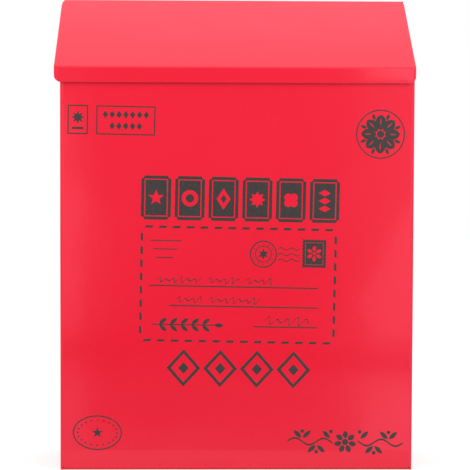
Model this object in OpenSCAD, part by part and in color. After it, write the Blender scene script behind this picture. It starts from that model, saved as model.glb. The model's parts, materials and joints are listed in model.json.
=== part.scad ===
// Wall mailbox folded from thin steel sheet, with a sloping lift-up lid on a wire hinge.
// The front faces -Y and the back lies on the wall plane y = 0. Heights inside the modules
// are counted from the underside of the box. The origin is midway between the two keyholes.

/* [Body] */
// Width across the outside of the side walls
body_w = 250; // [236:1:262]
// Depth from the wall to the outside of the front wall
body_d = 86; // [80:1:95]
// Height from the underside to the top of the hinge
total_h = 338; // [325:1:350]
// Thickness of the steel sheet
sheet_t = 0.6; // [0.5:0.05:0.7]
// Outside radius of the folds beside and below the front wall
fold_r = 2; // [1.5:0.1:2.5]
// Length of the hems turned in along the top edges
hem_len = 7; // [5:0.5:9]
// Gap left inside a hem
hem_gap = 0.2; // [0.1:0.05:0.3]
// Height of the bottom's flanges, turned up inside the side walls
bottom_flange_h = 9; // [6:1:14]

/* [Back] */
// Length of the back panel's flanges, welded inside the side walls and on the bottom
back_flange = 11; // [8:1:14]
// Outside radius of the back panel's folds
back_fold_r = 1.2; // [1:0.1:1.6]
// Distance between the two keyholes
hanger_pitch = 180; // [140:5:200]
// Height of the keyholes' entries above the underside
hanger_h = 270; // [250:1:280]
// Diameter of a keyhole's entry
entry_d = 9; // [8:0.5:10]
// Width of a keyhole's slot
slot_w = 4.5; // [4.2:0.1:5]
// Rise from the entry's centre to the centre of the slot's round end
slot_rise = 9; // [8:0.5:12]
// Height of the two lower screw holes above the underside
lower_hole_h = 40; // [30:1:60]
// Diameter of the lower screw holes
lower_hole_d = 5; // [4.5:0.1:5.5]

/* [Lid] */
// Slope of the lid, in degrees below horizontal
slope_deg = 32; // [30:0.2:33]
// Height of the lid's front lip
lip_h = 11; // [10:0.5:12]
// Gap between the front wall and the lip
lip_gap = 1.4; // [1.2:0.1:2]
// Depth of the lid's side flanges, measured straight down
flange_h = 6; // [5:0.5:7]
// How far the lid reaches past the left side wall
reach_left = 4.2; // [3.6:0.1:5]
// How far the lid reaches past the right side wall
reach_right = 0.8; // [0.8:0.05:1.2]
// Outside radius of the fold between slope and lip
lip_fold_r = 1.5; // [1.2:0.1:2]
// Outside radius of the folds between slope and side flanges
edge_r = 1; // [0.9:0.1:1.4]
// Radius of the lid's upright front corners
corner_r = 2.2; // [1.8:0.1:2.6]
// Radius of the lip's lower corners, seen from the front
lip_corner_r = 5.5; // [4.5:0.1:6.5]
// Gap between the side walls' top edges and the lid's underside
side_gap = 1.2; // [1:0.1:2]
// Gap between the front hem and the lid's underside
front_gap = 0.3; // [0.25:0.05:0.5]

/* [Hinge] */
// Outside radius of the rolled knuckles
barrel_r = 1.9; // [1.85:0.05:2]
// Radius of the hinge wire
pin_r = 1.2; // [1.1:0.05:1.2]
// Clearance around the wire
pin_clearance = 0.05; // [0.03:0.01:0.08]
// Distance of the back panel's knuckles from the middle
knuckle_x = 64; // [50:1:75]
// Width of the back panel's knuckles
knuckle_w = 36; // [28:1:40]
// Clearance each side of them in the lid's windows, with the lid centred
window_gap = 2.2; // [2:0.1:3]
// Gap between them and the lid's plate, which runs over them
cover_gap = 0.3; // [0.2:0.05:0.4]
// How far the rolled edge stops short of the lid's left side
barrel_inset_left = 1.6; // [1.4:0.1:2.2]
// Radius of the wire's flattened head
pin_head_r = 1.7; // [1.5:0.05:1.8]

/* [Print] */
// Thickness of the ink
ink_t = 0.1; // [0.08:0.01:0.15]
// Turn of the whole print, in degrees
print_turn = -1; // [-2:0.1:2]
// Width of a fine printed line
fine_line = 0.8; // [0.6:0.1:1]
// Width of a bold printed line
bold_line = 2.1; // [1.6:0.1:2.4]
// Width of the dashed panel
panel_w = 137; // [130:1:140]
// Height of the dashed panel
panel_h = 80.5; // [78:0.5:84]
// Width of a ticket in the row above the panel
ticket_w = 21; // [18:0.5:21.5]
// Height of a ticket
ticket_h = 31; // [28:0.5:33]
// Width of a lozenge in the row below the panel
lozenge_w = 24; // [20:0.5:26]
// Height of a lozenge
lozenge_h = 26.5; // [22:0.5:28]
// Height of the two frames at the upper left
frame_h = 20.4; // [18:0.2:22]
// Radius of the round mark at the upper right
mark_r = 17.3; // [15:0.1:18]

/* [Hidden] */
$fn = 48;
bend_steps = 6;
curl_steps = 30;
clear = 1;
paint = "#f02840";
steel = "#b9bcc0";
ink = "#45403f";

// Rolled hinge
normal_dir = [-sin(slope_deg), cos(slope_deg)];
slope_dir = [cos(slope_deg), sin(slope_deg)];
plate_rise = sheet_t + cover_gap;
pivot = [-barrel_r - plate_rise, total_h - barrel_r - plate_rise * cos(slope_deg)];
bore_r = pin_r + pin_clearance;
roll_r = barrel_r - sheet_t;
curl_gap = 8;
back_curl_deg = 360 - acos(roll_r / barrel_r) - curl_gap;
tongue_neck = 0.5;
back_top = pivot[1] - barrel_r - tongue_neck;
tongue_bend_z = pivot[1] - sheet_t;

// Lid
lid_w = body_w + reach_left + reach_right;
lid_x = (reach_right - reach_left) / 2;
lid_d = body_d + lip_gap + sheet_t;
lid_left = lid_x - lid_w / 2;
lid_right = lid_x + lid_w / 2;
barrel_left = lid_left + barrel_inset_left;
barrel_inset_right = 0.3;
barrel_right = lid_right - barrel_inset_right;
corner_snip = 3.2;
roll_centre = pivot + plate_rise * normal_dir;
roll_start = 2.4;
roll_step_deg = 5;
over_steps = 90 / roll_step_deg;
cover_steps = 5;
lid_tail_deg = 165;
plate_end = roll_centre + barrel_r * normal_dir - roll_start * slope_dir;
fold_z = slope_z(-lid_d);

// Body
wall_x = body_w / 2 - sheet_t;
hem_r = sheet_t + hem_gap / 2;
side_top = sheet_t + side_gap;
corner_margin = 6;
front_hem_z = slope_z(hem_r - body_d) - (sheet_t + front_gap + hem_r) / cos(slope_deg) + hem_r;
relief_w = 0.4;
bottom_fold_r = 2 * sheet_t;
bottom_x = body_w / 2 - fold_r - relief_w;
flange_end_gap = 2;
flange_front = -body_d + fold_r + flange_end_gap;
flange_back = -(back_flange + flange_end_gap);

// A point in the plate's rear edge, that far under its outer surface
function plate_edge(depth) = plate_end - depth * normal_dir;

// Height of the lid's outer surface over a point at depth y
function slope_z(y) =
    pivot[1] + (barrel_r + plate_rise) / cos(slope_deg) + (y - pivot[0]) * tan(slope_deg);

// Points where the lid's plate turns down behind the knuckles, at a radius from the roll's centre
function roll_over(r, steps) = [
    for (i = [0:steps]) let (a = 90 + slope_deg - roll_step_deg * i) roll_centre + r * [cos(a), sin(a)]
];

// Points along an arc
function arc(centre, r, from, to, steps = bend_steps) = [
    for (i = [0:steps]) let (a = from + (to - from) * i / steps) centre + r * [cos(a), sin(a)]
];

function reversed(points) = [for (i = [len(points) - 1:-1:0]) points[i]];

// Outline of a front and two sides with round corners, each face moved in by inset
function wrap_outline(w, d, r, inset, back) = concat(
    [[inset - w / 2, back]],
    arc([r - w / 2, r - d], r - inset, 180, 270),
    arc([w / 2 - r, r - d], r - inset, 270, 360),
    [[w / 2 - inset, back]]
);

// Extrudes a (y, z) profile from x0 to x1
module across(x0, x1) {
    translate([x0, 0, 0]) rotate([90, 0, 90]) linear_extrude(x1 - x0) children();
}

// Extrudes an (x, y) profile from z0 to z1
module upright(z0, z1) {
    translate([0, 0, z0]) linear_extrude(z1 - z0) children();
}

// Extrudes an (x, z) profile from y0 to y1
module front_to_back(y0, y1) {
    translate([0, y1, 0]) rotate([90, 0, 0]) linear_extrude(y1 - y0) children();
}

// Extrudes an (x, v) profile down the slope, where v = 0 is the lid's outer surface
module down_slope(y_back, y_front) {
    translate([0, y_back, slope_z(y_back)]) rotate([90 + slope_deg, 0, 0])
        linear_extrude((y_back - y_front) / cos(slope_deg)) children();
}

module both_sides() {
    children();
    mirror([1, 0, 0]) children();
}

module from_underside() {
    translate([0, 0, -hanger_h]) children();
}

// A strip of wall with its top edge folded over inwards: the outside is at 0, the fold's top at 0
module hem_profile() {
    polygon(concat(
        [[0, -hem_len - clear]],
        arc([hem_r, -hem_r], hem_r, 180, 0, 2 * bend_steps),
        [[2 * hem_r, -hem_len], [2 * hem_r - sheet_t, -hem_len]],
        arc([hem_r, -hem_r], hem_r - sheet_t, 0, 180, 2 * bend_steps),
        [[sheet_t, -hem_len - clear]]
    ));
}

module wall_wrap() {
    outline = wrap_outline(body_w, body_d, fold_r, 0, 0);
    inside = wrap_outline(body_w, body_d, fold_r, sheet_t, 0);
    upright(0, total_h) polygon(concat(outline, reversed(inside)));
}

// What the wall sheet loses along its top edges, where the hems begin and at the bottom fold
module wall_cuts() {
    drop = side_top / cos(slope_deg);
    across(-body_w, body_w) polygon([
        [-body_d - clear, slope_z(-body_d - clear) - drop],
        [clear, slope_z(clear) - drop],
        [clear, total_h + clear],
        [-body_d - clear, total_h + clear]
    ]);
    across(-body_w, body_w) polygon([
        [-back_flange / 2, back_top - sheet_t],
        [clear, back_top - sheet_t],
        [clear, total_h + clear],
        [-back_flange / 2, total_h + clear]
    ]);
    translate([corner_margin - body_w / 2, -body_d - clear, front_hem_z - hem_len - clear])
        cube([body_w - 2 * corner_margin, clear + fold_r, total_h]);
    both_sides() down_slope(flange_back, corner_margin - body_d)
        translate([wall_x - clear, -side_top - hem_len - clear]) square([2 * clear + sheet_t, total_h / 4]);
    translate([-bottom_x - relief_w, -body_d - clear, -clear])
        cube([2 * (bottom_x + relief_w), clear + fold_r, clear + fold_r + relief_w]);
}

module bottom_fold() {
    across(-bottom_x, bottom_x) polygon(concat(
        [[-body_d, fold_r + relief_w]],
        arc([fold_r - body_d, fold_r], fold_r, 180, 270),
        [[flange_front, 0], [flange_front, sheet_t]],
        arc([fold_r - body_d, fold_r], fold_r - sheet_t, 270, 180),
        [[sheet_t - body_d, fold_r + relief_w]]
    ));
}

// The bottom between its two turned-up flanges, and the flat strip behind them
module bottom_pan() {
    r = bottom_fold_r;
    front_to_back(flange_front, flange_back) polygon(concat(
        [[-wall_x, bottom_flange_h]],
        arc([r - wall_x, r], r, 180, 270),
        arc([wall_x - r, r], r, 270, 360),
        [[wall_x, bottom_flange_h], [wall_x - sheet_t, bottom_flange_h]],
        arc([wall_x - r, r], r - sheet_t, 360, 270),
        arc([r - wall_x, r], r - sheet_t, 270, 180),
        [[sheet_t - wall_x, bottom_flange_h]]
    ));
    translate([-wall_x, flange_back, 0]) cube([2 * wall_x, -flange_back, sheet_t]);
}

module body_shell() {
    color(paint) from_underside() {
        difference() {
            wall_wrap();
            wall_cuts();
        }
        across(corner_margin - body_w / 2, body_w / 2 - corner_margin)
            translate([-body_d, front_hem_z]) hem_profile();
        both_sides() down_slope(flange_back, corner_margin - body_d)
            translate([body_w / 2, -side_top]) mirror([1, 0]) hem_profile();
        bottom_fold();
        bottom_pan();
    }
}

// Keyhole: a round entry for the screw's head, and a slot above it for the screw's shank
module keyhole() {
    front_to_back(-clear - sheet_t, clear) {
        circle(d = entry_d);
        translate([-slot_w / 2, 0]) square([slot_w, slot_rise]);
        translate([0, slot_rise]) circle(d = slot_w);
    }
}

// A tongue of the back panel that steps forwards and is rolled over and round the wire
module back_knuckle(x) {
    tongue_y = pivot[0] + barrel_r;
    difference() {
        across(x - knuckle_w / 2, x + knuckle_w / 2) polygon(concat(
            [[-sheet_t, back_top - clear], [0, back_top - clear], [0, back_top]],
            [[tongue_y, tongue_bend_z]],
            arc(pivot, barrel_r, 0, back_curl_deg, curl_steps),
            [pivot, [tongue_y - sheet_t, pivot[1]]],
            [[tongue_y - sheet_t, tongue_bend_z], [-sheet_t, back_top]]
        ));
        across(x - knuckle_w, x + knuckle_w) translate(pivot) circle(bore_r);
    }
}

module back_panel() {
    side_top_z = slope_z(-back_flange) - side_top / cos(slope_deg) - clear;
    corner_z = sheet_t + 2 * back_fold_r;
    flat_x = wall_x - back_fold_r;
    color(paint) from_underside() {
        difference() {
            union() {
                upright(corner_z, side_top_z) polygon(concat(
                    [[-wall_x, -back_flange]],
                    arc([-flat_x, -back_fold_r], back_fold_r, 180, 90),
                    arc([flat_x, -back_fold_r], back_fold_r, 90, 0),
                    [[wall_x, -back_flange], [wall_x - sheet_t, -back_flange]],
                    arc([flat_x, -back_fold_r], back_fold_r - sheet_t, 0, 90),
                    arc([-flat_x, -back_fold_r], back_fold_r - sheet_t, 90, 180),
                    [[sheet_t - wall_x, -back_flange]]
                ));
                translate([-flat_x, -sheet_t, side_top_z])
                    cube([2 * flat_x, sheet_t, back_top - side_top_z]);
                across(-flat_x, flat_x) translate([0, sheet_t]) polygon(concat(
                    [[0, 2 * back_fold_r]],
                    arc([-back_fold_r, back_fold_r], back_fold_r, 0, -90),
                    [[-back_flange, 0], [-back_flange, sheet_t]],
                    arc([-back_fold_r, back_fold_r], back_fold_r - sheet_t, -90, 0),
                    [[-sheet_t, 2 * back_fold_r]]
                ));
            }
            for (side = [-1, 1]) {
                translate([side * hanger_pitch / 2, 0, hanger_h]) keyhole();
                translate([side * hanger_pitch / 2, clear, lower_hole_h]) rotate([90, 0, 0])
                    cylinder(h = 2 * clear + sheet_t, d = lower_hole_d);
            }
        }
        for (side = [-1, 1]) back_knuckle(side * knuckle_x);
    }
}

// The lid's outer form with every face moved in by inset. The rear points close its profile behind.
module lid_block(inset, spare, rear_points) {
    fold_centre = [lip_fold_r - lid_d, slope_z(lip_fold_r - lid_d) - lip_fold_r / cos(slope_deg)];
    edge_x = lid_w / 2 - edge_r;
    deep = 2 * lip_h + spare;
    low = fold_z - lip_h - spare;
    intersection() {
        across(lid_left - spare, lid_right + spare) polygon(concat(
            [[inset - lid_d, low]],
            arc(fold_centre, lip_fold_r - inset, 180, 90 + slope_deg),
            [plate_edge(inset)],
            rear_points
        ));
        upright(low, total_h + lip_h)
            translate([lid_x, 0]) polygon(wrap_outline(lid_w, lid_d, corner_r, inset, spare + clear));
        down_slope(2 * clear, -lid_d - lip_h) translate([lid_x, 0]) polygon(concat(
            [[inset - lid_w / 2, -deep]],
            arc([-edge_x, -edge_r], edge_r - inset, 180, 90),
            arc([edge_x, -edge_r], edge_r - inset, 90, 0),
            [[lid_w / 2 - inset, -deep]]
        ));
    }
}

// What is cut from the lid below its side flanges, off the lip's lower corners and behind
module lid_cuts() {
    flange_start = corner_r / 2 - lid_d;
    snip_y = plate_end[0] - sheet_t;
    low = fold_z - 2 * lip_h;
    across(lid_left - clear, lid_right + clear) polygon([
        [flange_start, low],
        [flange_start, slope_z(flange_start) - flange_h],
        [2 * clear, slope_z(2 * clear) - flange_h],
        [2 * clear, low]
    ]);
    front_to_back(-lid_d - clear, corner_r - lid_d) translate([lid_x, fold_z - lip_h])
        for (side = [-1, 1]) lip_corner(side);
    upright(0, 2 * total_h) polygon([
        [lid_left - clear, clear],
        [barrel_left, clear],
        [barrel_left, snip_y],
        [lid_left, snip_y - corner_snip],
        [lid_left - clear, snip_y - corner_snip]
    ]);
}

// The piece outside the rounding of one lower corner of the lip
module lip_corner(side) {
    edge = lid_w / 2;
    points = concat(
        [[edge + clear, -clear], [edge - lip_corner_r, -clear]],
        arc([edge - lip_corner_r, lip_corner_r], lip_corner_r, 270, 360, 2 * bend_steps),
        [[edge + clear, lip_corner_r]]
    );
    polygon([for (p = points) [side * p[0], p[1]]]);
}

// The lid's rear edge turned down behind the wire and rolled round it, from x0 to x1
module lid_knuckle(x0, x1) {
    difference() {
        across(x0, x1) polygon(concat(
            [plate_edge(0)],
            roll_over(barrel_r, over_steps),
            arc(pivot, barrel_r, slope_deg, lid_tail_deg - 360, curl_steps),
            [pivot, pivot + roll_r * slope_dir],
            reversed(roll_over(roll_r, over_steps)),
            [plate_edge(sheet_t)]
        ));
        across(x0 - clear, x1 + clear) translate(pivot) circle(bore_r);
    }
}

// The lid's rear edge over one of the back panel's knuckles, where the rest of the roll is cut away
module lid_cover(x) {
    half_window = knuckle_w / 2 + window_gap;
    across(x - half_window, x + half_window) polygon(concat(
        [plate_edge(0)],
        roll_over(barrel_r, cover_steps),
        reversed(roll_over(roll_r, cover_steps)),
        [plate_edge(sheet_t)]
    ));
}

module lid() {
    half_window = knuckle_w / 2 + window_gap;
    inner_low = fold_z - lip_h - clear;
    color(paint) from_underside() {
        difference() {
            lid_block(0, 0, [plate_edge(sheet_t), plate_edge(2 * lip_h)]);
            lid_block(sheet_t, clear, [[2 * clear, slope_z(2 * clear) - sheet_t], [2 * clear, inner_low]]);
            lid_cuts();
        }
        lid_knuckle(barrel_left, lid_x - knuckle_x - half_window);
        lid_knuckle(lid_x - knuckle_x + half_window, lid_x + knuckle_x - half_window);
        lid_knuckle(lid_x + knuckle_x + half_window, barrel_right);
        for (side = [-1, 1]) lid_cover(lid_x + side * knuckle_x);
    }
}

// The wire lies still in the lid's knuckles, and its flattened head is in the lid's cut-away corner
module hinge_pin() {
    head_t = barrel_inset_left / 2;
    color(steel) from_underside() {
        across(barrel_left - head_t, barrel_right - clear) translate(pivot) circle(pin_r);
        across(barrel_left - 2 * head_t, barrel_left - head_t / 2) translate(pivot) circle(pin_head_r);
    }
}

// Plain printed shapes
function star_points(tips, r_tip, r_root) = [
    for (i = [0:2 * tips - 1]) let (a = 90 + 180 * i / tips, r = i % 2 == 0 ? r_tip : r_root)
        r * [cos(a), sin(a)]
];

function oval_points(a, b, steps = 40) = [
    for (i = [0:steps - 1]) [a * cos(360 * i / steps), b * sin(360 * i / steps)]
];

module at(x, y, turn = 0) {
    translate([x, y]) rotate(turn) children();
}

module ring(r, line) {
    difference() {
        circle(r);
        circle(r - line);
    }
}

module box_line(w, h, line) {
    difference() {
        square([w, h], center = true);
        square([w - 2 * line, h - 2 * line], center = true);
    }
}

module lozenge(w, h) {
    polygon([[w / 2, 0], [0, h / 2], [-w / 2, 0], [0, -h / 2]]);
}

// A leaf or petal between two arcs, from the origin upwards
module leaf(length, w) {
    r = (length * length / 4 + w * w / 4) / w;
    translate([0, length / 2]) intersection() {
        translate([r - w / 2, 0]) circle(r);
        translate([w / 2 - r, 0]) circle(r);
    }
}

module flower(petals, length, w, heart) {
    for (i = [0:petals - 1]) rotate(360 * i / petals) translate([0, heart + fine_line / 2]) leaf(length, w);
    circle(heart);
}

// A line that swings up and down. An uneven one that leans stands for a written word.
module wave(length, swing, pitch, line, uneven = 0, lean = 0, per_pitch = 8) {
    slow_pitch = 3.3 * pitch;
    steps = ceil(length / pitch * per_pitch);
    middle = [for (i = [0:steps]) let (x = length * i / steps)
        [x, swing * sin(360 * x / pitch) * (1 - uneven + uneven * cos(360 * x / slow_pitch))]];
    outline = concat(
        [for (p = middle) p + [0, line / 2]],
        [for (p = reversed(middle)) p - [0, line / 2]]
    );
    polygon([for (p = outline) [p[0] + lean * p[1], p[1]]]);
}

// A solid ticket with bitten corners, an inner line and a plain figure left out of it
module ticket(figure) {
    bite_r = 2.2;
    difference() {
        square([ticket_w, ticket_h], center = true);
        for (sx = [-1, 1], sy = [-1, 1]) translate([sx * ticket_w / 2, sy * ticket_h / 2]) circle(bite_r);
        box_line(ticket_w - 2 * bite_r, ticket_h - 2 * bite_r, fine_line);
        ticket_figure(figure, ticket_w / 3.6);
    }
}

// Star, ring, lozenge, rosette, clover and three lozenges
module ticket_figure(figure, size) {
    if (figure == 0) polygon(star_points(5, size, size * 0.42));
    if (figure == 1) ring(size, size / 2);
    if (figure == 2) difference() {
        lozenge(size * 1.7, size * 2.6);
        lozenge(size * 0.7, size * 1.1);
    }
    if (figure == 3) polygon(star_points(8, size, size * 0.6));
    if (figure == 4) for (i = [0:3]) rotate(45 + 90 * i) translate([size / 2, 0]) circle(size * 0.47);
    if (figure == 5) for (i = [-1:1]) translate([0, i * size * 0.95]) lozenge(size * 1.5, size * 0.8);
}

module headline() {
    count = 6;
    gap = 2.8;
    for (i = [0:count - 1]) at((i - (count - 1) / 2) * (ticket_w + gap), 0) ticket(i);
}

// A border of slanting dashes, as round an old air mail cover
module dashed_panel() {
    dash = 5.3;
    slant = 0.8;
    along = 14;
    up = 8;
    dash_points = [
        [-dash / 2 - slant / 2, -fine_line],
        [dash / 2 - slant / 2, -fine_line],
        [dash / 2 + slant / 2, fine_line],
        [-dash / 2 + slant / 2, fine_line]
    ];
    for (side = [-1, 1]) {
        for (i = [0:along - 1])
            at((i - (along - 1) / 2) * panel_w / along, side * panel_h / 2) polygon(dash_points);
        for (i = [0:up - 1])
            at(side * panel_w / 2, (i - (up - 1) / 2) * (panel_h - dash) / up, 90) polygon(dash_points);
    }
}

// A small stamp with toothed edges and a flower
module stamp() {
    w = 17;
    h = 20;
    tooth = 2.2;
    margin = 2;
    difference() {
        square([w, h], center = true);
        for (side = [-1, 1]) {
            for (i = [-4:4]) translate([side * w / 2, i * tooth]) circle(tooth / 4);
            for (i = [-3:3]) translate([i * tooth, side * h / 2]) circle(tooth / 4);
        }
        box_line(w - 2 * margin, h - 2 * margin, fine_line / 2);
        flower(6, 4, 2.6, 1.2);
    }
}

// A double ring with dots and a star, and wavy lines that run from it
module cancel_mark() {
    r = 9.6;
    line_gap = 4;
    ring(r, fine_line);
    ring(r * 0.62, fine_line * 0.7);
    for (i = [0:11]) rotate(30 * i) translate([r * 0.76, 0]) circle(fine_line / 2);
    polygon(star_points(6, r * 0.42, r * 0.2));
    for (i = [-1:1]) translate([r + 1, i * line_gap]) wave(15, 0.9, 7.5, fine_line * 0.8);
}

// Words of uneven strokes that spell nothing, each [where it begins, its length]
module written(words, swing, pitch, line) {
    for (word = words) at(word[0], 0)
        wave(word[1], swing, pitch, line, uneven = 0.35, lean = 0.45, per_pitch = 10);
}

// The panel's writing on ruled lines, with a few short lines above it
module written_lines() {
    left = -panel_w / 2;
    top = panel_h / 2;
    above_rule = 4.6;
    rule_drop = 14;
    rule_start = [6, 20, 80];
    rule_end = panel_w - 12;
    words = [
        [[11, 31], [47, 22], [74, 19]],
        [[25, 18], [48, 36]],
        [[88, 32]]
    ];
    short_drop = 6;
    for (i = [0:2]) {
        at(left + 6 + 2 * i, top - 10 - short_drop * i) square([22 - 5 * i, fine_line * 0.8]);
        at(left, top - 42 - rule_drop * i) {
            at(rule_start[i], 0) square([rule_end - rule_start[i], fine_line]);
            at(0, above_rule) written(words[i], i == 2 ? 3.4 : 2.3, i == 2 ? 6.8 : 5, fine_line);
        }
    }
}

// A stem with pairs of leaves, lying on its side
module sprig() {
    stem = 44;
    pairs = 5;
    leaf_gap = 7.6;
    square([stem, fine_line]);
    for (i = [0:pairs - 1], turn = [-50, -130])
        at(5 + leaf_gap * i, fine_line / 2, turn) translate([0, fine_line * 0.8]) leaf(6.6, 2.7);
    at(stem, fine_line / 2, -90) leaf(7, 3);
}

module lozenge_band() {
    count = 4;
    gap = 2;
    border = 1.4 * bold_line;
    for (i = [0:count - 1]) at((i - (count - 1) / 2) * (lozenge_w + gap), 0) {
        difference() {
            lozenge(lozenge_w, lozenge_h);
            lozenge(lozenge_w - 2 * border, lozenge_h - 2 * border);
        }
        lozenge(lozenge_w / 3.2, lozenge_h / 3.2);
    }
}

// A small frame with a rosette over a bar
module rosette_frame() {
    w = 14.3;
    box_line(w, frame_h, fine_line);
    at(0, 1.6) polygon(star_points(8, 4.8, 2.4));
    at(0, -6) square([8, 1.6], center = true);
}

// A long frame with two rows of lozenges
module lozenge_frame() {
    w = 41.4;
    pitch = 4.8;
    row = 4;
    box_line(w, frame_h, fine_line);
    for (i = [-3:3]) at(i * pitch, row) lozenge(3.8, 5.4);
    for (i = [-2:2]) at(i * pitch, -row) lozenge(3.8, 5.4);
}

// A large flower in a ring. Each petal has a vein, and a small leaf fills the gap beside it.
module round_mark() {
    petals = 8;
    petal_l = mark_r * 0.62;
    ring(mark_r, fine_line);
    difference() {
        flower(petals, petal_l, mark_r * 0.44, mark_r * 0.15);
        for (i = [0:petals - 1]) rotate(360 * i / petals)
            translate([0, mark_r * 0.36]) leaf(petal_l / 2, fine_line);
    }
    for (i = [0:petals - 1]) rotate(360 * (i + 0.5) / petals)
        translate([0, petal_l]) leaf(mark_r * 0.26, mark_r * 0.13);
}

// An oval line with a ring of dots inside it and a star in the middle
module oval_mark() {
    a = 17.4;
    b = 12.4;
    dots = 20;
    dot_inset = 3.5;
    difference() {
        polygon(oval_points(a, b));
        polygon(oval_points(a - fine_line, b - fine_line));
    }
    for (p = oval_points(a - dot_inset, b - dot_inset, dots)) translate(p) circle(fine_line * 0.75);
    polygon(star_points(5, 4, 1.6));
}

// A waving stem with pairs of leaves and berries, which stops short of a large flower in the middle
module vine() {
    span = 82;
    pitch = 20.5;
    difference() {
        at(-span / 2, 0) wave(span, 2.4, pitch, fine_line * 1.6, per_pitch = 16);
        circle(9);
    }
    for (i = [-3:3]) if (i != 0) at(i * pitch / 2, 0, i % 2 == 0 ? 180 : 0) {
        for (hand = [-1, 1]) if (hand != -i) at(hand * 0.6, 2.6, hand * -46) leaf(7.5, 3);
        at(0, 7.4) circle(1.3);
    }
    flower(7, 5.4, 3.6, 2.2);
}

// The ink on the front wall, drawn as (x, height above the underside)
module print_flat() {
    turn_height = 140;
    translate([0, turn_height]) rotate(print_turn) translate([0, -turn_height]) {
        at(1.3, 192.6) headline();
        at(0.8, 131.9) {
            dashed_panel();
            at(panel_w / 2 - 15, panel_h / 2 - 17) stamp();
            at(panel_w / 2 - 51, panel_h / 2 - 18) cancel_mark();
            written_lines();
            at(8 - panel_w / 2, 11 - panel_h / 2) sprig();
        }
        at(2.4, 72.3) lozenge_band();
        at(-114.2, 246.4) rosette_frame();
        at(-80.5, 246.4) lozenge_frame();
        at(99.1, 240.5) round_mark();
        at(-96.7, 25) oval_mark();
        at(79.4, 21.4) vine();
    }
}

module front_print() {
    color(ink) from_underside() front_to_back(-body_d - ink_t, -body_d) print_flat();
}

body_shell();
back_panel();
lid();
hinge_pin();
front_print();
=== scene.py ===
# %% [markdown]
# # A wall mailbox of folded sheet steel
# This mailbox is made of three pieces of thin sheet, a hinge wire and a printed front. The packed
# model gives each piece its true size and place. This lesson models the same sheets again as clean
# folded surfaces, paints them, and sets them in a plain white studio.

# %% Load the frame
import json
import math

import bmesh
import bpy
from mathutils import Matrix, Vector


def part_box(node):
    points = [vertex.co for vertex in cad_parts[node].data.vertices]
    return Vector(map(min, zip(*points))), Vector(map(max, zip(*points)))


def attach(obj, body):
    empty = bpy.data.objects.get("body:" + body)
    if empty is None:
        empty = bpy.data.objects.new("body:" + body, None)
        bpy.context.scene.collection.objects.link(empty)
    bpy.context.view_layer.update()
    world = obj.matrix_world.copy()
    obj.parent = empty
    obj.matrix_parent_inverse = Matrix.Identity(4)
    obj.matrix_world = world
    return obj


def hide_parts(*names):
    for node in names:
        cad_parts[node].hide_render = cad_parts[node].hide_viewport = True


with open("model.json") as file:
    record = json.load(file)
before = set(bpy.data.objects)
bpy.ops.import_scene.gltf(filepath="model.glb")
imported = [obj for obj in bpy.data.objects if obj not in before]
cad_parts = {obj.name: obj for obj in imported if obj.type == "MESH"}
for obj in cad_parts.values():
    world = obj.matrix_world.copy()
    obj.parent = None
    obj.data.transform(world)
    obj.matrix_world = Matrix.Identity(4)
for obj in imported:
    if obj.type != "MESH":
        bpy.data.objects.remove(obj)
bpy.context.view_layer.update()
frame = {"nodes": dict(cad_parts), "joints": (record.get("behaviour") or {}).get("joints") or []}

# %% [markdown]
# ## The sizes
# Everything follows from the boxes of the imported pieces, the hinge's place and a few stock sizes of
# the sheet metal trade: how thick the sheet is, and how tightly it is folded and rolled.

# %% Sizes
mm = 0.001
shell_low, shell_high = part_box("body_shell")
lid_low, lid_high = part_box("lid")
pin_low, pin_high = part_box("hinge_pin")
pivot = Vector((0, *frame["joints"][0]["pos_m"][1:]))
sheet = 0.6 * mm
slope = math.radians(32)
barrel_r = 1.9 * mm
cover_gap = 0.3 * mm
plate_rise = sheet + cover_gap
side = shell_high.x
front = shell_low.y
under = shell_low.z
along_x = Vector((1, 0, 0))
inwards_y = Vector((0, 1, 0))
upright = Vector((0, 0, 1))
normal = Vector((0, -math.sin(slope), math.cos(slope)))
uphill = Vector((0, math.cos(slope), math.sin(slope)))
roll_centre = pivot + plate_rise * normal
plate_line = roll_centre + barrel_r * normal


def slope_z(y):
    """Height of the lid's outer surface over a point at depth y."""
    return plate_line.z + (y - plate_line.y) * math.tan(slope)


print("body half width", side, "front", front, "lid fold height", round(slope_z(lid_low.y), 4))

# %% [markdown]
# ## Folding a sheet
# A folded sheet is easiest to model as its outer skin alone. An edge is pulled to make a flat wall,
# and spun about a line to make a bend, just as a folding machine does. The thickness is added at
# the end, all at once, so it is the same everywhere, even in the tight hems.

# %% Helpers that fold


def edges_of(items):
    return [e for e in items if isinstance(e, bmesh.types.BMEdge)]


def pull(bm, edges, step):
    """Extrudes edges by a step and returns the new far edges."""
    made = bmesh.ops.extrude_edge_only(bm, edges=edges)["geom"]
    new = {v for v in made if isinstance(v, bmesh.types.BMVert)}
    bmesh.ops.translate(bm, verts=list(new), vec=Vector(step))
    return [e for e in edges_of(made) if set(e.verts) <= new]


def bend(bm, edges, centre, axis, angle, steps=8):
    """Spins edges about a line through the centre and returns the new far edges."""
    verts = list({v for e in edges for v in e.verts})
    made = bmesh.ops.spin(
        bm, geom=verts + edges, cent=Vector(centre), axis=Vector(axis), angle=angle, steps=steps
    )
    return edges_of(made["geom_last"])


# %% [markdown]
# Cuts need to reach some faces and leave others alone, so the next helpers choose faces and edges
# by a test on where their middle lies.

# %% Helpers that choose and cut


def everywhere(c):
    return True


def near(a, b, slack=0.02 * mm):
    return abs(a - b) < slack


def faces_where(bm, test):
    return [f for f in bm.faces if test(f.calc_center_median())]


def edges_where(bm, test):
    """The edges on the skin's rim whose middle passes the test."""
    return [e for e in bm.edges if e.is_boundary and test((e.verts[0].co + e.verts[1].co) / 2)]


def drop_faces(bm, test):
    bmesh.ops.delete(bm, geom=faces_where(bm, test), context="FACES")


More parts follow.
